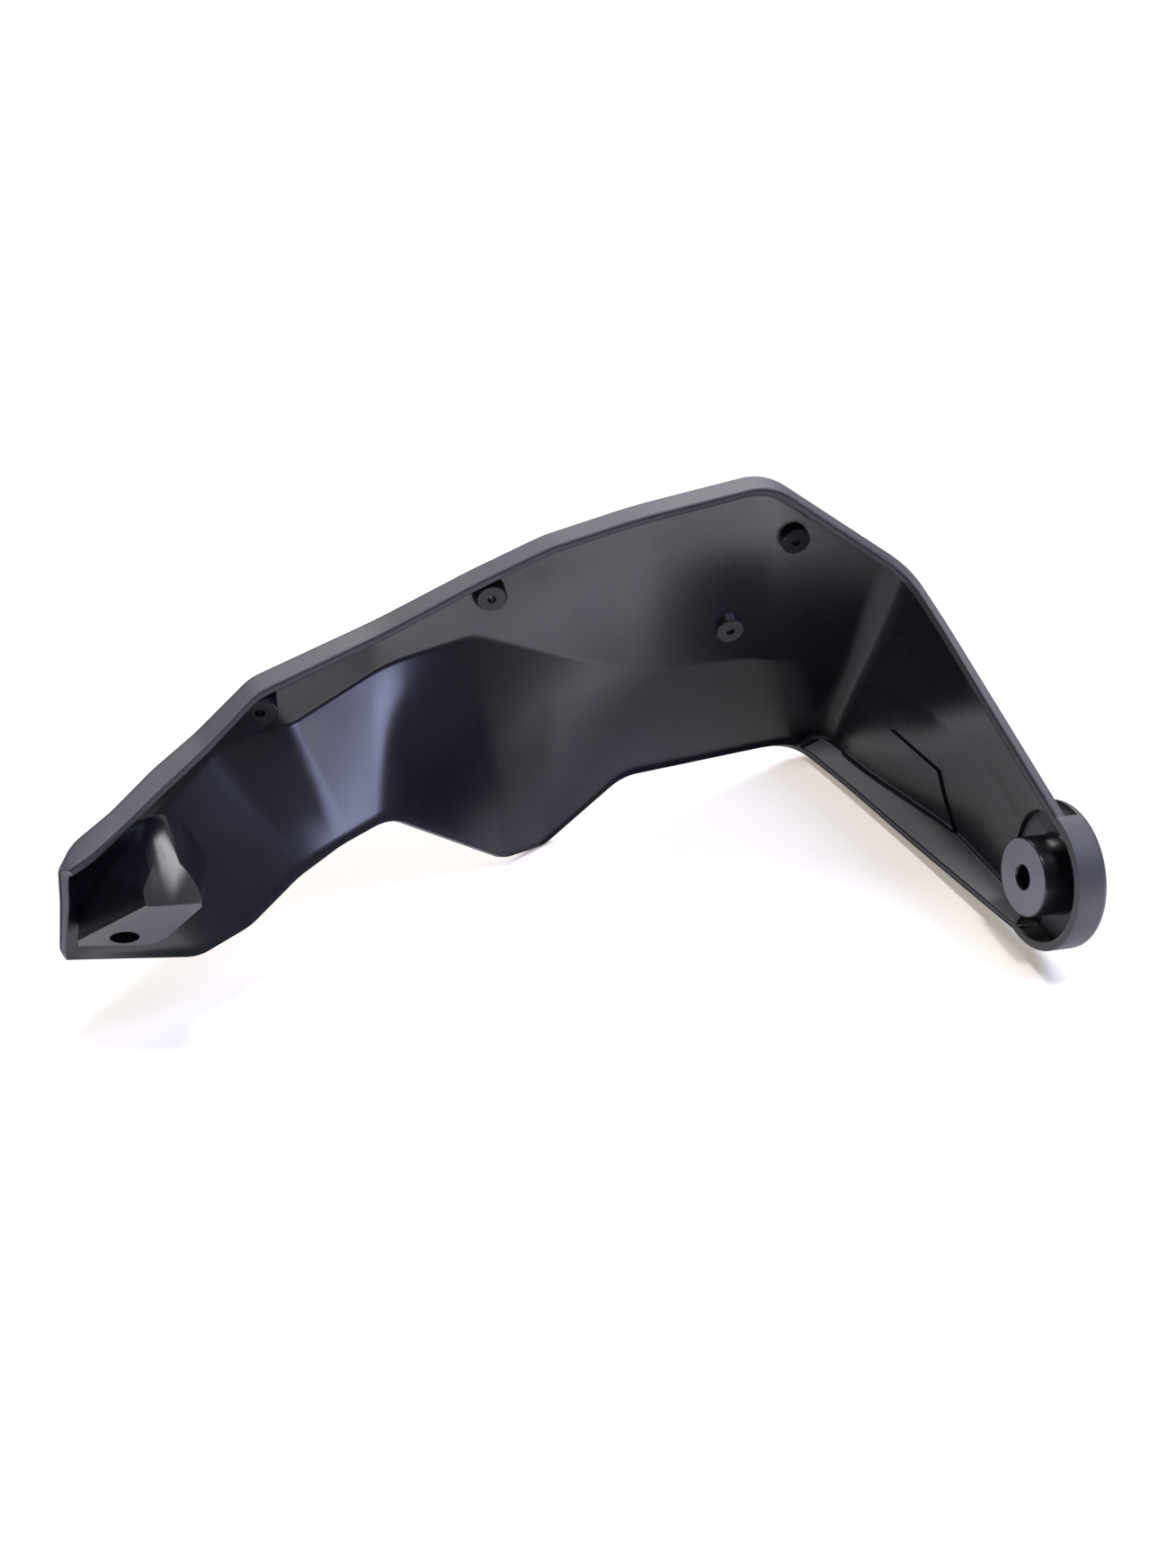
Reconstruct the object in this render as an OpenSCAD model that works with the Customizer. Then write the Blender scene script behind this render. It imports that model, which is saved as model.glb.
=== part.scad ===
// Right-hand motorcycle hand guard, moulded in one piece.
// X runs outward along the handlebar, Y forward and Z up. The origin is the middle of the
// face of the bar-end boss, where the guard is clamped against the end of the handlebar.

/* [Overall size] */
// Bar-end hole to inner tab hole, measured along the handlebar
span = 231.5; // [215:0.5:250]
// Bar-end hole to the outer corner, measured forward
reach = 105; // [95:0.5:120]
// Highest point of the rim above the bar-end hole
rise = 45.5; // [38:0.5:55]
// Lowest point of the foot below the bar-end hole
drop = 57; // [48:0.5:66]

/* [Moulding] */
// Wall thickness
wall = 2.6; // [2:0.1:3.2]
// Depth of the flange along the top of the shield
flange_depth = 5.5; // [4:0.5:8]
// Width of the small turned lip along the foot of the shield
lip_width = 2.4; // [1.5:0.1:3.5]
// Bend length of the fold between the upper panel and the sweep
crease_bend = 2; // [1:0.5:4]
// Bend length of the flange corner
flange_bend = 2.5; // [1:0.5:4]

/* [Bar-end cup] */
// Bore of the cup
cup_bore_d = 36; // [32:0.5:40]
// Depth of the cup, rim to floor
cup_depth = 6.5; // [5:0.5:9]
// Thickness of the cup floor
cup_floor = 2.6; // [2:0.1:4]
// Rounding of the outer edge of the cup
cup_edge = 2; // [0.5:0.5:2.5]
// Diameter of the boss that meets the handlebar
boss_d = 22; // [18:0.5:26]
// How far the boss stands out of the cup
boss_stand = 3.5; // [2:0.5:6]
// Clearance hole for the bar-end bolt
bolt_hole_d = 6.5; // [5:0.1:8.5]

/* [Inner tab] */
// Height of the tab hole above the bar-end hole
tab_height = 9; // [4:0.5:14]
// Forward offset of the tab hole from the bar-end hole
tab_forward = 3.5; // [0:0.5:8]
// Downward tilt of the tab face, in degrees
tab_tilt = 14; // [8:1:18]
// Thickness of the tab plate
tab_plate = 2.2; // [1.6:0.1:3.5]
// Clearance hole in the tab
tab_hole_d = 6.5; // [5:0.1:8]

/* [Arm pad] */
// Height of the flat pad on the arm's web
pad_rise = 0.8; // [0.4:0.1:1.5]

/* [Deflector bosses] */
// Diameter of each boss
stud_d = 9; // [7:0.5:11]
// Diameter of each screw pilot
pilot_d = 2.7; // [2:0.1:4]
// Depth of the marks in the two bosses that stay closed
mark_depth = 1; // [0.5:0.1:2]

/* [Hidden] */
// Facets on each rounded fold, along the guard and across it
FOLD_ALONG = 5;
FOLD_ACROSS = 3;
$fn = 64;

// Sizes at which the sections below were drawn; the named sizes stretch them
DRAWN_SPAN = 231.5;
DRAWN_REACH = 105;
DRAWN_RISE = 45.5;
DRAWN_DROP = 57;

function placed(p) = [
    p.x * span / DRAWN_SPAN,
    p.y * reach / DRAWN_REACH,
    p.z > 0 ? p.z * rise / DRAWN_RISE : p.z * drop / DRAWN_DROP
];

// Cup sizes that the arm also follows
cup_r = cup_bore_d / 2;
cup_floor_x = boss_stand + cup_depth;
cup_end_x = cup_floor_x + cup_floor;
cup_outer_r = cup_r + wall;
CUP_OVERLAP = 10;
CUP_STEP = 0.2;

// Depth of the space behind the shield, and how far each cut runs past the solid
HAND_SPACE = 60;
CUT = 6;

// Shield sections from the inner tip to the outer corner, on the inner face of the moulding.
// Each is [rim, crease under the upper panel, foot, bend length along the guard].
SHIELD = [
    [[-230.5, 20.8, 24.2], [-229.5, 24, 18], [-217, 8.8, -8.7], 3],
    [[-221.4, 33.9, 23.2], [-219.5, 38, 18.5], [-204.3, 16.2, -8.1], 2.5],
    [[-211.4, 46.9, 22.6], [-209.5, 52, 19.5], [-191.7, 28.6, -5.9], 2.5],
    [[-198, 64, 24.2], [-191, 69, 9.5], [-180, 38.6, -6.4], 7],
    [[-164, 85.5, 23.5], [-163, 87.5, 13], [-166, 47.4, -7], 9],
    [[-136, 98, 29.5], [-137, 97, 14], [-130.2, 59.8, -43.9], 3],
    [[-114, 105, 35.5], [-110, 98.5, 3], [-116, 68.2, -49.5], 3],
    [[-87, 109.6, 41.3], [-80, 99.5, -7], [-87.5, 86, -40], 6],
    [[-46, 117.2, 46.2], [-45, 105.5, -9], [-25.5, 108, -54], 8],
];

// Inner tip: the end wall's free edge and its root, each as five points down the section
TIP_EDGE = [[-240, 8, 26.5], [-241, 9.5, 25.5], [-242.5, 8.5, 16], [-246, 7, 0.5], [-246, 6.5, -1.5]];
TIP_ROOT = [[-236.2, 12.2, 25.5], [-239, 17, 24.5], [-240, 15, 16], [-242, 9, -0.8], [-241.5, 7.5, -3.5]];
TIP_BEND = 3;

// Corner where the shield turns into the arm
CORNER = [[0, 104.6, 20.8], [1.8, 107.5, 20.3], [-2, 111.5, -22], [-4.5, 113.5, -56], [-13, 110.5, -57.6]];
CORNER_BEND = 9;

// Arm sections: [how far forward, middle of the web, foot of the web, foot], rim is the cup's
ARM = [
    [84, [4.5, 84, -10], [0.5, 84.5, -47], [-8.5, 84, -48.5]],
    [44, [8, 44, 0], [10, 44, -32], [-2.5, 44, -35.5]],
];
ARM_BEND = 10;
ARM_EDGE = [1.6, 0, -0.2];
ARM_SLOPE = 17;

// Ways in which the flange runs from the rim, and the lip from the foot
FLANGE_WAY = [0, 1, -0.08];
LIP_WAY = [0, 0.7, 0.7];
function shield_section(s) = [
    placed(s[0]),
    placed(s[0]) + flange_depth * FLANGE_WAY,
    placed(s[1]),
    placed(s[2]) + lip_width * LIP_WAY,
    placed(s[2])
];
function arm_section(s) =
    let (rim = [boss_stand, s[0] * reach / DRAWN_REACH, cup_r - CUP_STEP])
    [rim, rim + ARM_EDGE, placed(s[1]), placed(s[2]), placed(s[3])];

// Last section, inside the cup, with its rim and foot on the circle of the bore
CUP_MIDDLE = [-1.5, -1, 0]; // from the middle of the cup's floor
CUP_FOOT = [-0.5, -4, 2]; // from the lowest point of the cup's floor
CUP_SECTION = [
    [boss_stand, 0, cup_r - CUP_STEP],
    [boss_stand, 0, cup_r - CUP_STEP] + ARM_EDGE,
    [cup_floor_x, 0, 0] + CUP_MIDDLE,
    [cup_floor_x, 0, -cup_r] + CUP_FOOT,
    [boss_stand, -(cup_r - CUP_STEP) * sin(ARM_SLOPE), -(cup_r - CUP_STEP) * cos(ARM_SLOPE)]
];

SECTIONS = concat(
    [[for (p = TIP_EDGE) placed(p)], [for (p = TIP_ROOT) placed(p)]],
    [for (s = SHIELD) shield_section(s)],
    [[for (p = CORNER) placed(p)]],
    [for (s = ARM) arm_section(s)],
    [CUP_SECTION]
);
BENDS = concat([0, TIP_BEND], [for (s = SHIELD) s[3]], [CORNER_BEND, ARM_BEND, ARM_BEND, 0]);
FOOT_BEND = 1.5;
FOLDS = [0, flange_bend, crease_bend, FOOT_BEND, 0];

// A polyline whose inner corners become smooth bends of the given lengths
function mix(a, b, t) = a + (b - a) * t;
function arc_point(a, b, c, t) = mix(mix(a, b, t), mix(b, c, t), t);
MOST_BEND = 0.45; // share of a side that one bend may take
function toward(from, to, bend) = mix(from, to, min(bend / norm(to - from), MOST_BEND));
function bent(path, bends, steps) = concat(
    [path[0]],
    [for (i = [1:len(path) - 2], k = [0:steps])
        arc_point(toward(path[i], path[i - 1], bends[i]), path[i],
                  toward(path[i], path[i + 1], bends[i]), k / steps)],
    [path[len(path) - 1]]
);

// Each face of the wall is a grid: its rows run along the guard from the tip to the cup
function grid(sections) =
    let (across = [for (s = sections) bent(s, FOLDS, FOLD_ACROSS)])
    [for (r = [0:len(across[0]) - 1]) bent([for (s = across) s[r]], BENDS, FOLD_ALONG)];

// The outer face lies one wall away from the inner one, measured square to each facet
function unit(v) = v / norm(v);
function facet(s, i) =
    let (a = SECTIONS[s], b = SECTIONS[s + 1])
    unit(cross(b[i] + b[i + 1] - a[i] - a[i + 1], a[i + 1] + b[i + 1] - a[i] - b[i]));
function lifted(s, i, depth) =
    let (near = [for (m = [max(s - 1, 0):min(s, len(SECTIONS) - 2)], n = [max(i - 1, 0):min(i, 3)])
             facet(m, n)],
         ones = [for (f = near) 1],
         middle = unit(ones * near),
         share = ones * (near * middle) / len(near))
    SECTIONS[s][i] + middle * depth / share;
function skin(depth) = grid([for (s = [0:len(SECTIONS) - 1]) [for (i = [0:4]) lifted(s, i, depth)]]);

// A closed solid between two grids of the same size
module between(near, far) {
    rows = len(near);
    cols = len(near[0]);
    count = rows * cols;
    points = concat([for (row = near) each row], [for (row = far) each row]);
    near_faces = [for (r = [0:rows - 2], c = [0:cols - 2])
        let (a = r * cols + c, b = a + cols) each [[a, a + 1, b], [a + 1, b + 1, b]]];
    edge = concat(
        [for (c = [0:cols - 2]) [c, c + 1]],
        [for (r = [0:rows - 2]) [r * cols + cols - 1, (r + 1) * cols + cols - 1]],
        [for (c = [cols - 1:-1:1]) [(rows - 1) * cols + c, (rows - 1) * cols + c - 1]],
        [for (r = [rows - 1:-1:1]) [r * cols, (r - 1) * cols]]
    );
    faces = concat(
        near_faces,
        [for (f = near_faces) [f[0] + count, f[2] + count, f[1] + count]],
        [for (e = edge) each [[e[1], e[0], e[0] + count], [e[1], e[0] + count, e[1] + count]]]
    );
    polyhedron(points, faces, convexity = 8);
}

module shell() {
    between(skin(0), skin(wall));
}

// Everything behind the middle of the shield's wall, from the flange corner to the foot
module behind() {
    middle = [for (s = [1:len(SHIELD) + 2]) [for (i = [1:4]) lifted(s, i, wall / 2)]];
    patch = [for (i = [0:3]) [for (section = middle) section[i]]];
    between([for (row = patch) [for (p = row) p - [0, HAND_SPACE, 0]]], patch);
}

// Flat pad on the inside of the arm's web: a patch of the skins, trimmed to its outline. The
// outline is forward and up. The patch is numbered by the rows and columns of the skins.
PAD_OUTLINE = [[99, -50], [91.5, -37.5], [84.5, -26], [58.5, -19.5], [51.5, -25.5], [43, -31],
    [40, -45], [99, -65]];
PAD_ROWS = [6:11];
PAD_COLUMNS = [64:78];
function pad_patch(depth) = let (grid = skin(depth))
    [for (r = PAD_ROWS) [for (c = PAD_COLUMNS) grid[r][c]]];
module web_pad() {
    intersection() {
        between(pad_patch(-pad_rise), pad_patch(wall / 2));
        rotate([90, 0, 90]) translate([0, 0, -HAND_SPACE / 2]) linear_extrude(HAND_SPACE)
            polygon([for (p = PAD_OUTLINE) [p.x * reach / DRAWN_REACH, p.y * drop / DRAWN_DROP]]);
    }
}

// Places that lie along X: a cylinder or a turned profile stood on its side
module along_bar(x) {
    translate([x, 0, 0]) rotate([0, 90, 0]) children();
}

// Round cup around the end of the handlebar
module cup_profile() {
    square([cup_outer_r, cup_floor - cup_edge]);
    square([cup_outer_r - cup_edge, cup_floor]);
    translate([cup_outer_r - cup_edge, cup_floor - cup_edge]) circle(cup_edge);
}
module cup() {
    along_bar(cup_floor_x) rotate_extrude() cup_profile();
    along_bar(boss_stand) rotate_extrude(start = 180 - CUP_OVERLAP, angle = 180 - ARM_SLOPE + 2 * CUP_OVERLAP)
        translate([cup_r, 0]) square([wall, cup_depth + cup_floor - cup_edge]);
}
module cup_cavity() {
    along_bar(boss_stand - CUT) cylinder(r = cup_r, h = cup_depth + CUT);
}

// Boss that is clamped against the handlebar, with its bolt hole
module bar_boss() {
    along_bar(0) cylinder(d = boss_d, h = cup_floor_x + cup_floor / 2);
}
module bolt_hole() {
    along_bar(-CUT) cylinder(d = bolt_hole_d, h = cup_end_x + 2 * CUT);
}

// Inner tab: a hollow pedestal, open at the front, with a flat face toward the handlebar.
// Its outline is drawn on that face from the hole; its base lies on the floor of the shield.
TAB_OUTLINE = [[-11.5, -1], [0, 9], [9.5, 18], [16.5, 18], [19, 13], [13, 4], [7, -6.5], [-11.5, -2.5]];
TAB_ROUND = 1.5;
TAB_BASE = [[-238, 16, 14], [-225, 33, 18], [-218.5, 32, 12.5], [-214.5, 29, 6], [-216, 20, 0.5],
    [-238, 13, 3]];
BASE_CENTRE = [-228, 24, 9];
MOUTH_RUN = [0, 14, -4];
BASE_FILLET = 1.5;
CORE_INSET = 2; // walls of the tab at its face, as a share of the wall
CORE_FACE = 0.2;
CORE_NARROWING = 0.35; // share by which the core's mouth is smaller than the base
CORE_ROUND = 1;
RELIEF = 0.5; // room around the bolt, in the core behind the plate
RELIEF_DEPTH = 6.5;
module on_tab(depth) {
    translate([-span, tab_forward, tab_height]) rotate([90 + tab_tilt, 0, 0])
        translate([0, 0, -depth]) children();
}
module tab_outline() {
    offset(TAB_ROUND, $fn = 24) offset(-TAB_ROUND) polygon(TAB_OUTLINE);
}
module tab() {
    intersection() {
        hull() {
            on_tab(tab_plate) linear_extrude(tab_plate) tab_outline();
            for (p = TAB_BASE) translate(placed(p)) sphere(BASE_FILLET, $fn = 16);
        }
        behind();
    }
}
module tab_core() {
    mouth = [for (p = TAB_BASE) placed(mix(p, BASE_CENTRE, CORE_NARROWING))];
    hull() {
        on_tab(tab_plate + CORE_FACE) linear_extrude(CORE_FACE) offset(-CORE_INSET * wall) tab_outline();
        for (p = mouth) translate(p) sphere(CORE_ROUND, $fn = 8);
    }
    hull() for (p = mouth) {
        translate(p) sphere(CORE_ROUND, $fn = 8);
        translate(p + MOUTH_RUN) sphere(CORE_ROUND, $fn = 8);
    }
}
module tab_hole() {
    on_tab(tab_plate + CUT) cylinder(d = tab_hole_d, h = tab_plate + 2 * CUT);
    on_tab(tab_plate + RELIEF_DEPTH) cylinder(d = tab_hole_d + 2 * RELIEF, h = RELIEF_DEPTH);
}

// Bosses for the screws of a wind deflector. Each is [section before it, share of the way to
// the next section, share of the way down the panel, height, bored through].
STUDS = [
    [4, 0.85, 0.3, 3, true],
    [7, 0.2, 0.3, 3, true],
    [9, 0.78, 0.79, 2.5, false],
    [10, 0.24, 0.19, 3, false],
];
function on_panel(s, down) = mix(SECTIONS[s][1], SECTIONS[s][2], down);
function stud_base(s) = mix(on_panel(s[0], s[2]), on_panel(s[0] + 1, s[2]), s[1]);
module on_stud(s) {
    translate(stud_base(s) - [0, s[3], 0]) rotate([-90, 0, 0]) children();
}
module studs() {
    intersection() {
        for (s = STUDS) on_stud(s) cylinder(d = stud_d, h = s[3] + 3 * wall);
        behind();
    }
}
module pilots() {
    for (s = STUDS) on_stud(s) translate([0, 0, -CUT])
        cylinder(d = pilot_d, h = CUT + (s[4] ? s[3] + 4 * wall : mark_depth));
}

module guard_shell() {
    color("#1c1d20") difference() {
        union() {
            difference() {
                union() {
                    shell();
                    web_pad();
                    cup();
                }
                cup_cavity();
            }
            bar_boss();
            tab();
            studs();
        }
        bolt_hole();
        tab_core();
        tab_hole();
        pilots();
    }
}

guard_shell();
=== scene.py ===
import math

import bmesh
import bpy
import numpy as np
from mathutils import Matrix, Vector


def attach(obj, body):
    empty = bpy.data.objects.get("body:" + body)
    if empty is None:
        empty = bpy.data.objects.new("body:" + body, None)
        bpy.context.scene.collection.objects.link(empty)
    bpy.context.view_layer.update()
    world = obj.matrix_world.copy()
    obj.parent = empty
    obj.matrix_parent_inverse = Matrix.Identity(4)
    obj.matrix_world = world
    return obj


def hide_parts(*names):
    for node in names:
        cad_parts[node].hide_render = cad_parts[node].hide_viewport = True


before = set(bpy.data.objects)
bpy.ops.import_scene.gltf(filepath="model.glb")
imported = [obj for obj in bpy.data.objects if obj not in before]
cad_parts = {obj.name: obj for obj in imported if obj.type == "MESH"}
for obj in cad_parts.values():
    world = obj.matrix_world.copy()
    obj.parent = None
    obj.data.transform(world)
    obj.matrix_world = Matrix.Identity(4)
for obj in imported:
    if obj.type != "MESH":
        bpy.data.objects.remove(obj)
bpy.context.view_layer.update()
scene = bpy.context.scene
scene.view_settings.view_transform = "Standard"


# Camera
# It stands behind and above the guard, nearer the inner end, and looks down into the hollow
# side. The frame is the photograph's, 1308 wide and 1744 high.
MM = 0.001
PHOTO_HEIGHT = 1744
FOCAL_PIXELS = 1420.3
SENSOR = 36.0
CAMERA_PLACE = (-189.8, -186.2, 255.5)
CAMERA_RIGHT = (0.9722, -0.2086, 0.1064)
CAMERA_UP = (0.0801, 0.7232, 0.6860)

camera = bpy.data.objects.new("camera", bpy.data.cameras.new("camera"))
camera.data.sensor_width = SENSOR
camera.data.lens = SENSOR * FOCAL_PIXELS / PHOTO_HEIGHT
camera.data.clip_start = 10 * MM
right = Vector(CAMERA_RIGHT).normalized()
back = right.cross(Vector(CAMERA_UP)).normalized()
turn = Matrix((right, back.cross(right), back)).transposed().to_4x4()
camera.matrix_world = Matrix.Translation(Vector(CAMERA_PLACE) * MM) @ turn
scene.collection.objects.link(camera)
scene.camera = camera


# Wall of the shield and the arm
# One injection-moulded wall of black polypropylene, 2.6 mm thick, from the inner tip across the
# front of the hand and back along the arm to the bar end. The halves of the mould meet along
# its edge and leave a fine groove there.
WALL = 2.6
FLANGE_DEPTH = 5.5
FLANGE_DROP = 0.08 * FLANGE_DEPTH
LIP_WIDTH = 2.4
# From the foot the lip leans forward and up
LIP_LEAN = (0, 0.7, 0.7)
CUP_R = 18.0
BOSS_STAND = 3.5
CUP_FLOOR_X = 10.0
# The rim of the arm lies this far within the bore of the cup
CUP_STEP = 0.2
ARM_SLOPE = math.radians(17)
EDGE_ROUND = 0.4
EDGE_TURNS = [math.radians(degrees) for degrees in (30, 60, 90)]
GROOVE_DEPTH = 0.3
# Each point across the groove: distance from the outer face, depth
GROOVE = [(0.95, 0), (0.85, GROOVE_DEPTH), (0.6, GROOVE_DEPTH), (0.5, 0)]

# Each section of the shield: rim, crease under the upper panel, foot, bend along the guard
SHIELD = [
    ((-230.5, 20.8, 24.2), (-229.5, 24, 18), (-217, 8.8, -8.7), 3),
    ((-221.4, 33.9, 23.2), (-219.5, 38, 18.5), (-204.3, 16.2, -8.1), 2.5),
    ((-211.4, 46.9, 22.6), (-209.5, 52, 19.5), (-191.7, 28.6, -5.9), 2.5),
    ((-198, 64, 24.2), (-191, 69, 9.5), (-180, 38.6, -6.4), 3),
    ((-164, 85.5, 23.5), (-163, 87.5, 13), (-166, 47.4, -7), 6),
    ((-136, 98, 29.5), (-137, 97, 14), (-130.2, 59.8, -43.9), 3),
    ((-114, 105, 35.5), (-110, 98.5, 3), (-116, 68.2, -49.5), 3),
    ((-87, 109.6, 41.3), (-80, 99.5, -7), (-87.5, 86, -40), 6),
    ((-46, 117.2, 46.2), (-45, 105.5, -9), (-25.5, 108, -54), 8),
]
# The other sections are five points each, from the rim down to the foot
TIP_EDGE = [(-240, 8, 26.5), (-241, 9.5, 25.5), (-242.5, 8.5, 16), (-246, 7, 0.5), (-246, 6.5, -1.5)]
TIP_ROOT = [
    (-236.2, 12.2, 25.5),
    (-239, 17, 24.5),
    (-240, 15, 16),
    (-242, 9, -0.8),
    (-241.5, 7.5, -3.5),
]
CORNER = [(0, 104.6, 20.8), (1.8, 107.5, 20.3), (-2, 111.5, -22), (-4.5, 113.5, -56), (-13, 110.5, -57.6)]
# Each section of the arm: how far forward its rim is, then its middle, web foot and foot
ARM = [
    (84, (4.5, 84, -10), (0.5, 84.5, -47), (-8.5, 84, -48.5)),
    (44, (8, 44, 0), (10, 44, -32), (-2.5, 44, -35.5)),
]
ARM_EDGE = (1.6, 0, -0.2)
POINTS_ACROSS = 5
# How far each bend reaches along its two sides, from the tip to the cup and from rim to foot
BENDS_ALONG = [0, 3] + [section[3] for section in SHIELD] + [9, 10, 10, 0]
BENDS_ACROSS = [0, 2.5, 1, 1.5, 0]
# A bend takes at most this share of a side
BEND_SHARE = 0.45
# A bend is made of so many steps, and the straight before it of so many runs
STEPS_ALONG = 14
RUNS_ALONG = 9
STEPS_ACROSS = 10
RUNS_ACROSS = 7


def point(*xyz):
    return np.array(xyz, float)


def shield_section(rim, crease, foot, _bend):
    rim, crease, foot = point(*rim), point(*crease), point(*foot)
    corner = rim + point(0, FLANGE_DEPTH, -FLANGE_DROP)
    return [rim, corner, crease, foot + LIP_WIDTH * point(*LIP_LEAN), foot]


def arm_section(forward, middle, web_foot, foot):
    rim = point(BOSS_STAND, forward, CUP_R - CUP_STEP)
    return [rim, rim + point(*ARM_EDGE), point(*middle), point(*web_foot), point(*foot)]


cup_rim = point(BOSS_STAND, 0, CUP_R - CUP_STEP)
CUP_SECTION = [
    cup_rim,
    cup_rim + point(*ARM_EDGE),
    point(CUP_FLOOR_X - 1.5, -1, 0),
    point(CUP_FLOOR_X - 0.5, -4, 2 - CUP_R),
    point(BOSS_STAND, -cup_rim[2] * math.sin(ARM_SLOPE), -cup_rim[2] * math.cos(ARM_SLOPE)),
]
SECTIONS = np.array(
    [[point(*p) for p in TIP_EDGE], [point(*p) for p in TIP_ROOT]]
    + [shield_section(*section) for section in SHIELD]
    + [[point(*p) for p in CORNER]]
    + [arm_section(*section) for section in ARM]
    + [CUP_SECTION]
)


def unit(v):
    return v / np.linalg.norm(v)


def curve(start, corner, end, steps):
    """Points from start to end that bend round the corner."""
    shares = [k / steps for k in range(steps + 1)]
    return [start * (1 - t) ** 2 + corner * 2 * t * (1 - t) + end * t**2 for t in shares]


def bent(path, bends, steps, runs):
    """The path's inner corners become smooth bends, with points along the straights between."""
    arcs = [[path[0]]]
    for before, corner, after, bend in zip(path, path[1:], path[2:], bends[1:]):
        start = corner + (before - corner) * min(bend / np.linalg.norm(before - corner), BEND_SHARE)
        end = corner + (after - corner) * min(bend / np.linalg.norm(after - corner), BEND_SHARE)
        arcs.append(curve(start, corner, end, steps))
    arcs.append([path[-1]])
    points = list(arcs[0])
    for near, far in zip(arcs, arcs[1:]):
        points += [near[-1] + (far[0] - near[-1]) * k / runs for k in range(1, runs)]
        points += far
    return points


def middle_of_bend(index, steps, runs):
    """Which of the points that bent() returns is the middle of a bend."""
    return 1 + index * (runs - 1) + (index - 1) * (steps + 1) + steps // 2


def facet(s, i):
    a, b = SECTIONS[s], SECTIONS[s + 1]
    return unit(np.cross(b[i] + b[i + 1] - a[i] - a[i + 1], a[i + 1] + b[i + 1] - a[i] - b[i]))


def lifted(s, i, depth):
    """A corner of the control net, moved out of the inner face by depth, square to each facet."""
    near = [
        facet(m, n)
        for m in range(max(s - 1, 0), min(s, len(SECTIONS) - 2) + 1)
        for n in range(max(i - 1, 0), min(i, POINTS_ACROSS - 2) + 1)
    ]
    middle = unit(sum(near))
    return SECTIONS[s][i] + middle * depth / np.mean([f @ middle for f in near])


def skin(depth):
    """The wall's face at a depth: rows run from rim to foot, columns from the tip to the cup."""
    net = [[lifted(s, i, depth) for i in range(POINTS_ACROSS)] for s in range(len(SECTIONS))]
    across = [bent(section, BENDS_ACROSS, STEPS_ACROSS, RUNS_ACROSS) for section in net]
    rows = range(len(across[0]))
    return np.array(
        [bent([section[r] for section in across], BENDS_ALONG, STEPS_ALONG, RUNS_ALONG) for r in rows]
    )


def linear(hex_colour):
    parts = [int(hex_colour[k : k + 2], 16) / 255 for k in (1, 3, 5)]
    return [p / 12.92 if p <= 0.04045 else ((p + 0.055) / 1.055) ** 2.4 for p in parts] + [1.0]


def empty_tree(owner):
    """The node tree of a new material or world, with nothing in it yet."""
    owner.use_nodes = True
    owner.node_tree.nodes.clear()
    return owner.node_tree


def node(tree, kind, settings=None, inputs=None):
    """Adds a node; a setting is an attribute, an input a value or another node's socket."""
    made = tree.nodes.new(kind)
    for key, value in (settings or {}).items():
        setattr(made, key, value)
    for key, value in (inputs or {}).items():
        if isinstance(value, bpy.types.NodeSocket):
            tree.links.new(value, made.inputs[key])
        else:
            made.inputs[key].default_value = value
    return made


# Polypropylene, moulded black, in three finishes. The hollow side comes off a polished core: it
# is smooth, nearly black and has a soft sheen. The outer side comes out of a spark-eroded
# cavity: its fine grain makes it matt and greyer. The third finish is painted light: on the foot
# of the arm and the face of the boss the plastic is painted paler, a painted sheen for the light
# these faces catch. The real grain is near 0.1 mm wide, too fine to show, and is drawn four or
# five times as coarse.
POLYPROPYLENE_IOR = 1.49
FLOW_MARKS_MM = 35
# The noise of the flow marks lies between these two values nearly everywhere
FLOW_LOW, FLOW_HIGH = 0.3, 0.7


def moulded(name, dark, light, rough_low, rough_high, grain_mm, grain_height_mm):
    """Colour and roughness drift with the flow marks, and the grain is a bump."""
    material = bpy.data.materials.new(name)
    tree = empty_tree(material)
    place = node(tree, "ShaderNodeTexCoord")
    flow = node(
        tree,
        "ShaderNodeTexNoise",
        inputs={"Vector": place.outputs["Object"], "Scale": 1 / (FLOW_MARKS_MM * MM), "Detail": 3.0},
    )
    grain = node(
        tree,
        "ShaderNodeTexNoise",
        inputs={"Vector": place.outputs["Object"], "Scale": 1 / (grain_mm * MM), "Detail": 2.0},
    )
    tint = node(tree, "ShaderNodeValToRGB", inputs={"Fac": flow.outputs["Fac"]})
    for stop, position, colour in zip(tint.color_ramp.elements, (FLOW_LOW, FLOW_HIGH), (dark, light)):
        stop.position = position
        stop.color = linear(colour)
    rough = node(
        tree,
        "ShaderNodeMapRange",
        inputs={
            "Value": flow.outputs["Fac"],
            "From Min": FLOW_LOW,
            "From Max": FLOW_HIGH,
            "To Min": rough_low,
            "To Max": rough_high,
        },
    )
    bump = node(
        tree,
        "ShaderNodeBump",
        inputs={"Height": grain.outputs["Fac"], "Strength": 1.0, "Distance": grain_height_mm * MM},
    )
    shader = node(
        tree,
        "ShaderNodeBsdfPrincipled",
        inputs={
            "Base Color": tint.outputs["Color"],
            "Roughness": rough.outputs["Result"],
            "IOR": POLYPROPYLENE_IOR,
            "Normal": bump.outputs["Normal"],
        },
    )
    node(tree, "ShaderNodeOutputMaterial", inputs={"Surface": shader.outputs["BSDF"]})
    return material


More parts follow.
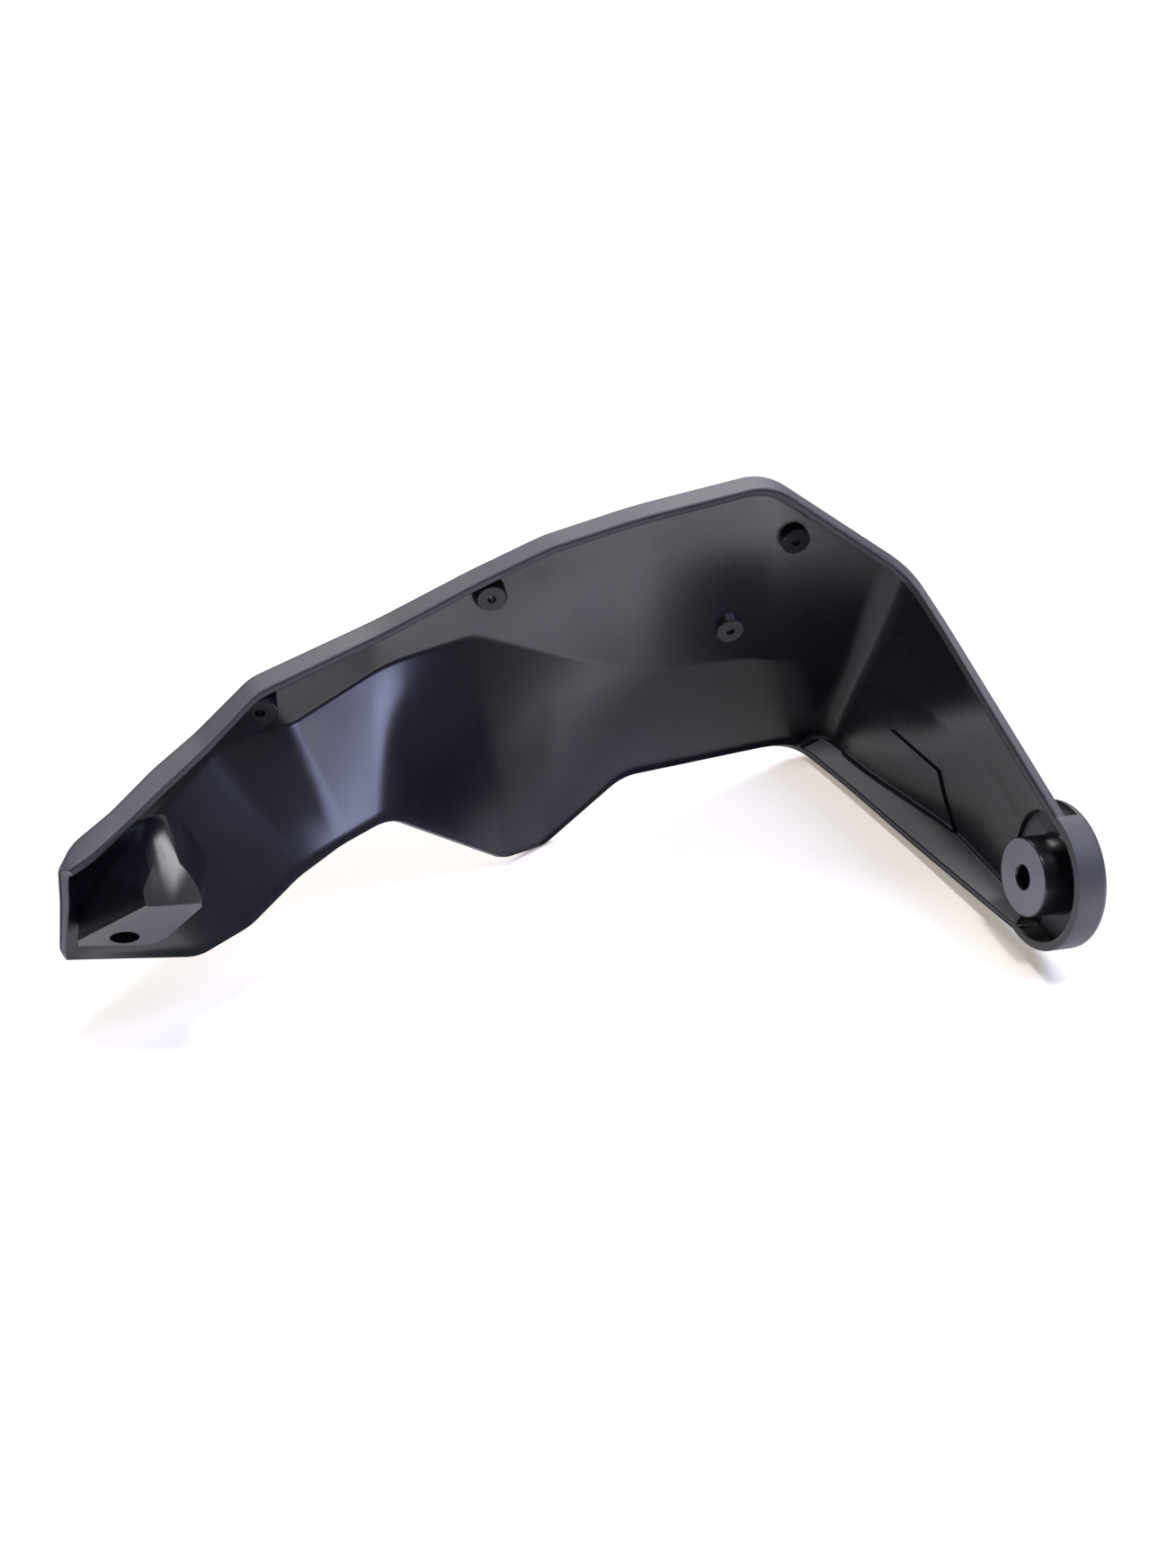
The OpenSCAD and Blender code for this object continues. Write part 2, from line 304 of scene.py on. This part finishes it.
# Each: darkest and lightest colour, lowest and highest roughness, grain width and height in mm
FINISHES = [
    moulded("polypropylene_moulded_smooth", "#101119", "#14151e", 0.24, 0.3, 0.5, 0.001),
    moulded("polypropylene_moulded_grained", "#404046", "#494950", 0.52, 0.6, 0.4, 0.04),
    # Painted sheen: a paler colour standing in for the light on the arm's foot and the boss's face
    moulded("polypropylene_painted_sheen", "#6c6c74", "#7e7e86", 0.38, 0.46, 0.5, 0.004),
]
INSIDE, OUTSIDE, PAINTED_SHEEN = 0, 1, 2


def new_piece(name, points, faces, finish):
    """A mesh in millimetres becomes an object in metres; finish is each face's, or one for all."""
    mesh = bpy.data.meshes.new(name)
    mesh.from_pydata([tuple(p * MM) for p in points], [], faces)
    for surface in FINISHES:
        mesh.materials.append(surface)
    piece = bpy.data.objects.new(name, mesh)
    scene.collection.objects.link(piece)
    build = bmesh.new()
    build.from_mesh(mesh)
    for face in build.faces:
        face.material_index = finish if isinstance(finish, int) else finish[face.index]
    bmesh.ops.recalc_face_normals(build, faces=build.faces)
    build.to_mesh(mesh)
    build.free()
    return piece


# The painted sheen on the foot of the arm starts just past the middle of two bends: across the
# wall the one that turns the foot in, and along it the one at the guard's outer corner
FOOT_BEND = 3
CORNER_BEND = 2 + len(SHIELD)
FOOT_ROW = middle_of_bend(FOOT_BEND, STEPS_ACROSS, RUNS_ACROSS) + 1
ARM_COLUMN = middle_of_bend(CORNER_BEND, STEPS_ALONG, RUNS_ALONG) + 1


def border(rows, cols):
    """Row and column of each point round the edge of a grid, in order."""
    return (
        [(0, c) for c in range(cols - 1)]
        + [(r, cols - 1) for r in range(rows - 1)]
        + [(rows - 1, c) for c in range(cols - 1, 0, -1)]
        + [(r, 0) for r in range(rows - 1, 0, -1)]
    )


def inward(grid, r, c):
    """The direction from a point on the grid's edge into the grid; a corner adds two."""
    rows, cols = grid.shape[:2]
    t = point(0, 0, 0)
    if r in (0, rows - 1):
        t = t + unit(grid[1 if r == 0 else r - 1, c] - grid[r, c])
    if c in (0, cols - 1):
        t = t + unit(grid[r, 1 if c == 0 else c - 1] - grid[r, c])
    return t


def edge_profile(inner, outer, into_inner, into_outer):
    """Points across the wall's edge, from the inner face to the outer: round, groove, round."""
    across = unit(outer - inner)
    turns = [(1 - math.sin(a), 1 - math.cos(a)) for a in EDGE_TURNS]
    near = [inner + EDGE_ROUND * (into_inner * s + across * k) for s, k in turns]
    groove = [outer + into_outer * depth - across * x for x, depth in GROOVE]
    far = [outer + EDGE_ROUND * (into_outer * s - across * k) for s, k in reversed(turns)]
    return near + groove + far


def wall_mesh():
    """The inner and the outer skin, joined by the profile round their edge."""
    inner, outer = skin(0), skin(WALL)
    rows, cols = inner.shape[:2]
    edge = border(rows, cols)
    ways = [(inward(inner, r, c), inward(outer, r, c)) for r, c in edge]
    profiles = [edge_profile(inner[place], outer[place], *way) for place, way in zip(edge, ways)]
    for place, (into_inner, into_outer) in zip(edge, ways):
        inner[place] += into_inner * EDGE_ROUND
        outer[place] += into_outer * EDGE_ROUND

    count = rows * cols
    points = list(inner.reshape(-1, 3)) + list(outer.reshape(-1, 3))
    faces, finish = [], []
    for r in range(rows - 1):
        for c in range(cols - 1):
            a, b = r * cols + c, (r + 1) * cols + c
            faces += [(a, b, b + 1, a + 1), (a + count, a + 1 + count, b + 1 + count, b + count)]
            # The foot of the arm gets the painted sheen, a paler colour that stands in for light
            sheen_painted = r >= FOOT_ROW and c >= ARM_COLUMN
            finish += [PAINTED_SHEEN if sheen_painted else INSIDE, OUTSIDE]
    ends = []
    for (r, c), profile in zip(edge, profiles):
        first = len(points)
        points += profile
        ends.append([r * cols + c] + list(range(first, first + len(profile))) + [r * cols + c + count])
    for one, two in zip(ends, ends[1:] + ends[:1]):
        for j in range(len(one) - 1):
            faces.append((one[j], one[j + 1], two[j + 1], two[j]))
            finish.append(INSIDE if j < len(EDGE_TURNS) else OUTSIDE)
    return new_piece("guard_moulding", points, faces, finish)


guard = wall_mesh()


# Pad on the arm
# A low flat pad moulded on the inside of the arm's web, of the same plastic. It is a patch of
# the wall's own skins, raised a little and trimmed to its outline.
PAD_RISE = 0.8
# Each corner: forward, up
PAD_OUTLINE = [
    (99, -50),
    (91.5, -37.5),
    (84.5, -26),
    (58.5, -19.5),
    (51.5, -25.5),
    (43, -31),
    (40, -45),
    (99, -65),
]
# The part of the wall's grid that holds the pad
PAD_ROWS = slice(27, 49)
PAD_COLUMNS = slice(ARM_COLUMN, 300)
PAD_TRIM_REACH = 30


def sheet(name, near, far):
    """A closed solid between two grids of the same size."""
    rows, cols = near.shape[:2]
    count = rows * cols
    faces = []
    for r in range(rows - 1):
        for c in range(cols - 1):
            a, b = r * cols + c, (r + 1) * cols + c
            faces += [(a, b, b + 1), (a, b + 1, a + 1)]
            faces += [(a + count, a + 1 + count, b + count), (a + 1 + count, b + 1 + count, b + count)]
    loop = [r * cols + c for r, c in border(rows, cols)]
    for a, b in zip(loop, loop[1:] + loop[:1]):
        faces += [(a, b, b + count), (a, b + count, a + count)]
    return new_piece(name, list(near.reshape(-1, 3)) + list(far.reshape(-1, 3)), faces, INSIDE)


def combine(piece, other, how):
    """The other solid is added to the piece, cut from it or kept in common, and then goes."""
    step = piece.modifiers.new(how.lower(), "BOOLEAN")
    step.operation, step.solver, step.object = how, "MANIFOLD", other
    bpy.context.view_layer.update()
    result = bpy.data.meshes.new_from_object(piece.evaluated_get(bpy.context.evaluated_depsgraph_get()))
    piece.modifiers.clear()
    old = piece.data
    piece.data = result
    bpy.data.meshes.remove(old)
    bpy.data.objects.remove(other)


pad = sheet("pad", skin(-PAD_RISE)[PAD_ROWS, PAD_COLUMNS], skin(WALL / 2)[PAD_ROWS, PAD_COLUMNS])
corners = len(PAD_OUTLINE)
trim_points = [point(x, y, z) for x in (-PAD_TRIM_REACH, PAD_TRIM_REACH) for y, z in PAD_OUTLINE]
trim_sides = [(k, (k + 1) % corners, (k + 1) % corners + corners, k + corners) for k in range(corners)]
trim_ends = [tuple(range(corners)), tuple(range(corners, 2 * corners))]
combine(pad, new_piece("pad_trim", trim_points, trim_sides + trim_ends, INSIDE), "INTERSECT")
combine(guard, pad, "UNION")


# Bar-end cup and boss
# A round cup, moulded in one with the arm, closes it around the end of the grip. The boss in
# its middle takes the bolt that clamps the guard against the end of the handlebar.
CUP_FLOOR = 2.6
CUP_EDGE = 2.0
CUP_OUTER_R = CUP_R + WALL
CUP_END_X = CUP_FLOOR_X + CUP_FLOOR
CUP_OVERLAP = math.radians(10)
CUP_ROOT = 0.8
CUP_ROOT_MIDDLE = 0.2
BOSS_R = 11.0
BOSS_ROOT = 1.0
BOSS_ROOT_MIDDLE = 0.3
BOLT_HOLE_R = 3.25
HOLE_CHAMFER = 0.4
CUT = 6.0
# A turned profile starts this far from the axis, because no two of its points may meet there
TINY = 0.01


def turned(name, profile, finish, start=0.0, sweep=2 * math.pi, steps=160):
    """A closed profile of (x, radius), turned about the bar's axis from the top rearward."""
    whole = math.isclose(sweep, 2 * math.pi)
    rings = steps if whole else steps + 1
    points = []
    for k in range(rings):
        a = start + sweep * k / steps
        points += [point(x, -r * math.sin(a), r * math.cos(a)) for x, r in profile]
    n = len(profile)
    faces, slots = [], []
    for k in range(steps):
        one, two = k * n, (k + 1) % rings * n
        for j in range(n):
            i = (j + 1) % n
            faces.append((one + j, one + i, two + i, two + j))
            slots.append(finish[j])
    if not whole:
        faces += [tuple(range(n)), tuple(range((rings - 1) * n, rings * n))]
        slots += [OUTSIDE, OUTSIDE]
    return new_piece(name, points, faces, slots)


def arc(x, r, radius, first, last, steps):
    angles = [math.radians(first + (last - first) * k / steps) for k in range(steps + 1)]
    return [(x + radius * math.cos(a), r + radius * math.sin(a)) for a in angles]


floor_profile = (
    [(CUP_FLOOR_X, TINY), (CUP_FLOOR_X, CUP_OUTER_R)]
    + arc(CUP_END_X - CUP_EDGE, CUP_OUTER_R - CUP_EDGE, CUP_EDGE, 90, 0, steps=5)
    + [(CUP_END_X, TINY)]
)
combine(guard, turned("cup_floor", floor_profile, [OUTSIDE] * len(floor_profile)), "UNION")
inner_round = arc(BOSS_STAND + EDGE_ROUND, CUP_R + EDGE_ROUND, EDGE_ROUND, 270, 180, steps=3)
outer_round = arc(BOSS_STAND + EDGE_ROUND, CUP_OUTER_R - EDGE_ROUND, EDGE_ROUND, 180, 90, steps=3)
rim_foot = [(CUP_END_X - CUP_EDGE, CUP_OUTER_R), (CUP_END_X - CUP_EDGE, CUP_R)]
rim_profile = inner_round + outer_round + rim_foot
rim_finish = [INSIDE] * len(inner_round) + [OUTSIDE] * (len(outer_round) + len(rim_foot))
rim_sweep = math.pi - ARM_SLOPE + 2 * CUP_OVERLAP
combine(guard, turned("cup_rim", rim_profile, rim_finish, -CUP_OVERLAP, rim_sweep), "UNION")
cavity_profile = [
    (BOSS_STAND - CUT, TINY),
    (BOSS_STAND - CUT, CUP_R),
    (CUP_FLOOR_X - CUP_ROOT, CUP_R),
    (CUP_FLOOR_X - CUP_ROOT_MIDDLE, CUP_R - CUP_ROOT_MIDDLE),
    (CUP_FLOOR_X, CUP_R - CUP_ROOT),
    (CUP_FLOOR_X, TINY),
]
combine(guard, turned("cup_cavity", cavity_profile, [INSIDE] * len(cavity_profile)), "DIFFERENCE")
boss_profile = (
    [(CUP_FLOOR_X + BOSS_ROOT, TINY), (0, TINY)]
    + arc(EDGE_ROUND, BOSS_R - EDGE_ROUND, EDGE_ROUND, 180, 90, steps=4)
    + [
        (CUP_FLOOR_X - BOSS_ROOT, BOSS_R),
        (CUP_FLOOR_X - BOSS_ROOT_MIDDLE, BOSS_R + BOSS_ROOT_MIDDLE),
        (CUP_FLOOR_X + BOSS_ROOT, BOSS_R + BOSS_ROOT),
    ]
)
# The second side of the boss's profile is its face, which gets the painted sheen
boss_finish = [INSIDE, PAINTED_SHEEN] + [INSIDE] * (len(boss_profile) - 2)
combine(guard, turned("bar_boss", boss_profile, boss_finish), "UNION")
bolt_profile = [
    (-CUT, TINY),
    (-CUT, BOLT_HOLE_R + HOLE_CHAMFER),
    (0, BOLT_HOLE_R + HOLE_CHAMFER),
    (HOLE_CHAMFER, BOLT_HOLE_R),
    (CUP_END_X - HOLE_CHAMFER, BOLT_HOLE_R),
    (CUP_END_X, BOLT_HOLE_R + HOLE_CHAMFER),
    (CUP_END_X + CUT, BOLT_HOLE_R + HOLE_CHAMFER),
    (CUP_END_X + CUT, TINY),
]
combine(guard, turned("bolt_hole", bolt_profile, [INSIDE] * len(bolt_profile)), "DIFFERENCE")


# Inner tab
# A hollow pedestal inside the tip, with a flat face that bolts to a bracket beside the lever.
# It is part of the same moulding and is cored from the front, so that its walls stay thin.
TAB_HOLE = point(-231.5, 3.5, 9)
TAB_TILT = math.radians(14)
TAB_PLATE = 2.2
TAB_HOLE_R = 3.25
# The corners of the tab's face: across and up from the hole, in its own plane
TAB_OUTLINE = [(-11.5, -1), (0, 9), (9.5, 18), (16.5, 18), (19, 13), (13, 4), (7, -6.5), (-11.5, -2.5)]
TAB_ROUND = 7
TAB_EDGE = 0.3
# Where the pedestal stands on the wall
TAB_BASE = [
    (-238, 16, 14),
    (-225, 33, 18),
    (-218.5, 32, 12.5),
    (-214.5, 29, 6),
    (-216, 20, 0.5),
    (-238, 13, 3),
]
BASE_ROUND = 7
BASE_FILLET = 1.5
BASE_CENTRE = point(-228, 24, 9)
ROUND_STEPS = 16
CORE_INSET = 2 * WALL
CORE_ROUND = 1
# The mouth of the core is the base drawn in to this share of its size, and runs out forward
MOUTH_SHARE = 0.65
MOUTH_RUN = point(0, 14, -4)
# How far rearward the space behind the wall reaches
HAND_SPACE = 60
RELIEF = 0.5
RELIEF_DEPTH = 6.5
TAB_HOLE_STEPS = 64
# A sharp corner of an inset outline moves by at most the inset divided by this
MITRE_LIMIT = 0.4
# Points closer than this, in metres, are one
SAME_POINT = 1e-6
tab_up = point(0, -math.sin(TAB_TILT), math.cos(TAB_TILT))
tab_forward = point(0, math.cos(TAB_TILT), math.sin(TAB_TILT))


def on_tab(x, up, depth):
    return TAB_HOLE + point(x, 0, 0) + tab_up * up + tab_forward * depth


def rounded(outline, radius, steps=6):
    """The outline with each corner rounded, as far as its two sides have room."""
    points = []
    n = len(outline)
    for k in range(n):
        before, corner, after = (np.array(outline[(k + j) % n], float) for j in (-1, 0, 1))
        a, b = unit(before - corner), unit(after - corner)
        half = math.acos(np.clip(a @ b, -1, 1)) / 2
        room = BEND_SHARE * min(np.linalg.norm(before - corner), np.linalg.norm(after - corner))
        reach = min(radius / math.tan(half), room)
        points += curve(corner + a * reach, corner, corner + b * reach, steps)
    return points


def inset(outline, depth):
    """The outline moved inward by depth, each side square to itself."""
    n = len(outline)
    pts = [np.array(p, float) for p in outline]
    area = sum(pts[k][0] * pts[(k + 1) % n][1] - pts[(k + 1) % n][0] * pts[k][1] for k in range(n))
    sign = 1 if area > 0 else -1
    out = []
    for k in range(n):
        a, b = unit(pts[k] - pts[k - 1]), unit(pts[(k + 1) % n] - pts[k])
        na, nb = sign * np.array([-a[1], a[0]]), sign * np.array([-b[1], b[0]])
        m = unit(na + nb)
        out.append(pts[k] + m * depth / max(m @ na, MITRE_LIMIT))
    return out


def ball(centre, radius, around, rings):
    return [
        centre + radius * point(math.sin(v) * math.cos(u), math.sin(v) * math.sin(u), math.cos(v))
        for v in [math.pi * k / rings for k in range(rings + 1)]
        for u in [2 * math.pi * k / around for k in range(around)]
    ]


def wrapped(name, points, finish):
    """The tightest convex solid around the points."""
    build = bmesh.new()
    for p in points:
        build.verts.new(tuple(p * MM))
    bmesh.ops.remove_doubles(build, verts=build.verts, dist=SAME_POINT)
    found = bmesh.ops.convex_hull(build, input=build.verts)
    loose = {e for e in found["geom_interior"] + found["geom_unused"] if isinstance(e, bmesh.types.BMVert)}
    bmesh.ops.delete(build, geom=list(loose), context="VERTS")
    bmesh.ops.recalc_face_normals(build, faces=build.faces)
    for face in build.faces:
        face.material_index = finish
    mesh = bpy.data.meshes.new(name)
    for surface in FINISHES:
        mesh.materials.append(surface)
    build.to_mesh(mesh)
    build.free()
    piece = bpy.data.objects.new(name, mesh)
    scene.collection.objects.link(piece)
    return piece


def behind_wall(name):
    """The space behind the middle of the shield's wall, from the flange corner to the foot."""
    columns = range(1, len(SHIELD) + 3)
    middle = np.array([[lifted(s, i, WALL / 2) for s in columns] for i in range(1, POINTS_ACROSS)])
    return sheet(name, middle - point(0, HAND_SPACE, 0), middle)


tab_side = rounded(TAB_OUTLINE, TAB_ROUND, ROUND_STEPS)
tab_face = rounded(inset(TAB_OUTLINE, TAB_EDGE), TAB_ROUND - TAB_EDGE, ROUND_STEPS)
tab_points = [on_tab(x, up, d) for x, up in tab_side for d in (TAB_EDGE, TAB_PLATE)]
tab_points += [on_tab(x, up, 0) for x, up in tab_face]
for base in rounded(TAB_BASE, BASE_ROUND, ROUND_STEPS):
    tab_points += ball(base, BASE_FILLET, 8, 4)
tab = wrapped("tab", tab_points, INSIDE)
combine(tab, behind_wall("tab_bound"), "INTERSECT")
combine(guard, tab, "UNION")

core_points = [on_tab(x, up, TAB_PLATE) for x, up in rounded(inset(TAB_OUTLINE, CORE_INSET), CORE_ROUND)]
mouth_points = []
for base in TAB_BASE:
    p = point(*base) * MOUTH_SHARE + BASE_CENTRE * (1 - MOUTH_SHARE)
    core_points += ball(p, CORE_ROUND, 12, 6)
    mouth_points += ball(p, CORE_ROUND, 12, 6) + ball(p + MOUTH_RUN, CORE_ROUND, 12, 6)
combine(guard, wrapped("tab_core", core_points, OUTSIDE), "DIFFERENCE")
combine(guard, wrapped("tab_mouth", mouth_points, OUTSIDE), "DIFFERENCE")
hole_turns = [2 * math.pi * k / TAB_HOLE_STEPS for k in range(TAB_HOLE_STEPS)]
for name, radius, start, end in (
    ("tab_hole", TAB_HOLE_R, -CUT, TAB_PLATE + CUT),
    ("tab_relief", TAB_HOLE_R + RELIEF, TAB_PLATE, TAB_PLATE + RELIEF_DEPTH),
):
    circle = [(radius * math.cos(a), radius * math.sin(a)) for a in hole_turns]
    rod = [on_tab(x, up, d) for x, up in circle for d in (start, end)]
    combine(guard, wrapped(name, rod, INSIDE), "DIFFERENCE")


# Deflector bosses
# Four small bosses on the upper panel, moulded in one with it, for the screws of a wind
# deflector. Two are bored through, and two carry only a shallow centre mark.
STUD_R = 4.5
STUD_EDGE = 0.3
STUD_FOOT = 3 * WALL
STUD_STEPS = 48
PILOT_R = 1.35
PILOT_RUN = 4 * WALL
MARK_DEPTH = 1.0
# Each: section before it, share to the next section, share down the panel, height, bored
STUDS = [
    (4, 0.85, 0.3, 3, True),
    (7, 0.2, 0.3, 3, True),
    (9, 0.78, 0.79, 2.5, False),
    (10, 0.24, 0.19, 3, False),
]


def stud_base(section, along, down):
    a = SECTIONS[section][1] * (1 - down) + SECTIONS[section][2] * down
    b = SECTIONS[section + 1][1] * (1 - down) + SECTIONS[section + 1][2] * down
    return a * (1 - along) + b * along


def forward_rod(name, face, profile):
    """A turned rod that runs forward from face; profile is (distance forward, radius)."""
    points = [
        face + point(r * math.cos(a), d, r * math.sin(a))
        for d, r in profile
        for a in [2 * math.pi * k / STUD_STEPS for k in range(STUD_STEPS)]
    ]
    return wrapped(name, points, INSIDE)


for k, (section, along, down, height, bored) in enumerate(STUDS):
    face = stud_base(section, along, down) - point(0, height, 0)
    rod = [(0, STUD_R - STUD_EDGE), (STUD_EDGE, STUD_R), (height + STUD_FOOT, STUD_R)]
    stud = forward_rod(f"stud_{k}", face, rod)
    combine(stud, behind_wall("stud_bound"), "INTERSECT")
    combine(guard, stud, "UNION")
    depth = height + PILOT_RUN if bored else MARK_DEPTH
    combine(guard, forward_rod(f"pilot_{k}", face, [(-CUT, PILOT_R), (depth, PILOT_R)]), "DIFFERENCE")


# The whole guard
# With its cup, tab and bosses the wall is one moulding of one plastic, fixed to the handlebar
# by a bolt at the boss and to its bracket by a bolt at the tab.
SHARP_ANGLE = math.radians(32)

guard.data.shade_smooth()
guard.data.set_sharp_from_angle(angle=SHARP_ANGLE)
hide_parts("guard_shell")
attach(guard, "root")


# Table
# A plain table, lacquered white, which isn't part of the guard. Its plane leans as the guard lay
# on it and touches the guard's lowest point.
TABLE_UP = Vector((-0.0147, 0.3074, 0.9515)).normalized()
TABLE_HALF = 0.8
# Under the middle of the guard; it moves along TABLE_UP until the table touches the guard
TABLE_MIDDLE = Vector((-118.8, 71.5, -48.8)) * MM

sides = ((-1, -1), (1, -1), (1, 1), (-1, 1))
table_mesh = bpy.data.meshes.new("table")
table_mesh.from_pydata([(x * TABLE_HALF, y * TABLE_HALF, 0) for x, y in sides], [], [(0, 1, 2, 3)])
table = bpy.data.objects.new("table", table_mesh)
lowest = min(TABLE_UP.dot(corner.co) for corner in guard.data.vertices)
table_place = TABLE_MIDDLE + TABLE_UP * (lowest - TABLE_UP.dot(TABLE_MIDDLE))
table_turn = TABLE_UP.to_track_quat("Z", "Y").to_matrix().to_4x4()
table.matrix_world = Matrix.Translation(table_place) @ table_turn
scene.collection.objects.link(table)

# Lacquer, sprayed white and matt. To the camera it is an even white on which only the shadow
# shows, and in the guard's reflections it is brighter farther out, as near a window. It gives
# way to the white background before its own edge can show. Distances are in metres.
LIFT = 0.34
GLOW_START, GLOW_END = 0.2, 0.27
GLOW_NEAR, GLOW_FAR = 1.2, 4.0
FADE_START, FADE_END = 0.29, 0.42

paint = bpy.data.materials.new("lacquer_sprayed_white")
tree = empty_tree(paint)
path = node(tree, "ShaderNodeLightPath")
chalk = node(tree, "ShaderNodeBsdfDiffuse", inputs={"Color": linear("#f2f2f2")})
lift = node(tree, "ShaderNodeEmission", inputs={"Color": linear("#fff2e2"), "Strength": LIFT})
seen = node(tree, "ShaderNodeAddShader", inputs={0: chalk.outputs[0], 1: lift.outputs[0]})
place = node(tree, "ShaderNodeTexCoord")
away = node(tree, "ShaderNodeVectorMath", {"operation": "LENGTH"}, {0: place.outputs["Object"]})
glow = node(
    tree,
    "ShaderNodeMapRange",
    inputs={
        "Value": away.outputs["Value"],
        "From Min": GLOW_START,
        "From Max": GLOW_END,
        "To Min": GLOW_NEAR,
        "To Max": GLOW_FAR,
    },
)
bright_chalk = node(tree, "ShaderNodeBsdfDiffuse", inputs={"Color": glow.outputs["Result"]})
mirrored = node(
    tree,
    "ShaderNodeMixShader",
    inputs={0: path.outputs["Is Glossy Ray"], 1: chalk.outputs[0], 2: bright_chalk.outputs[0]},
)
top = node(
    tree,
    "ShaderNodeMixShader",
    inputs={0: path.outputs["Is Camera Ray"], 1: mirrored.outputs[0], 2: seen.outputs[0]},
)
fade = node(
    tree,
    "ShaderNodeMapRange",
    {"interpolation_type": "SMOOTHSTEP"},
    {
        "Value": away.outputs["Value"],
        "From Min": FADE_START,
        "From Max": FADE_END,
        "To Min": 0.0,
        "To Max": 1.0,
    },
)
clear = node(tree, "ShaderNodeBsdfTransparent")
faded = node(
    tree,
    "ShaderNodeMixShader",
    inputs={0: fade.outputs["Result"], 1: top.outputs[0], 2: clear.outputs[0]},
)
side = node(tree, "ShaderNodeNewGeometry")
from_above = node(
    tree,
    "ShaderNodeMixShader",
    inputs={0: side.outputs["Backfacing"], 1: faded.outputs[0], 2: clear.outputs[0]},
)
node(tree, "ShaderNodeOutputMaterial", inputs={"Surface": from_above.outputs[0]})
table_mesh.materials.append(paint)


# Background and light
# The background is white to the camera and a weak warm grey to the guard. A wide window stands
# beyond the guard, bluish daylight falls from the upper right, and a small lamp hangs overhead.
AMBIENT = 0.2
# The lamps are aimed at this point, in metres as their places are
GUARD_MIDDLE = (-0.13, 0.06, 0.0)

world = bpy.data.worlds.new("daylight")
scene.world = world
tree = empty_tree(world)
path = node(tree, "ShaderNodeLightPath")
ambient = node(tree, "ShaderNodeBackground", inputs={"Color": linear("#f4eeea"), "Strength": AMBIENT})
backdrop = node(tree, "ShaderNodeBackground", inputs={"Color": linear("#ffffff"), "Strength": 1.0})
choice = node(
    tree,
    "ShaderNodeMixShader",
    inputs={0: path.outputs["Is Camera Ray"], 1: ambient.outputs[0], 2: backdrop.outputs[0]},
)
node(tree, "ShaderNodeOutputWorld", inputs={"Surface": choice.outputs[0]})


def soft_light(name, place, size, watts, colour):
    lamp = bpy.data.lights.new(name, "AREA")
    lamp.shape, lamp.size, lamp.size_y = "RECTANGLE", size[0], size[1]
    lamp.energy = watts
    lamp.color = linear(colour)[:3]
    holder = bpy.data.objects.new(name, lamp)
    place, target = Vector(place), Vector(GUARD_MIDDLE)
    aim = (place - target).to_track_quat("Z", "Y").to_matrix().to_4x4()
    holder.matrix_world = Matrix.Translation(place) @ aim
    scene.collection.objects.link(holder)


soft_light("window_behind", (0.3, 1.33, 0.85), (1.5, 0.65), 25.0, "#fdfbff")
soft_light("window_above", (0.57, 0.026, 1.08), (0.32, 0.5), 6.2, "#cad2ff")
soft_light("sky_above", (0.36, 0.0, 1.2), (0.8, 0.8), 2.9, "#b4bcff")
soft_light("ceiling_light", (-0.06, 0.14, 1.3), (0.2, 0.2), 7.5, "#fffaf4")
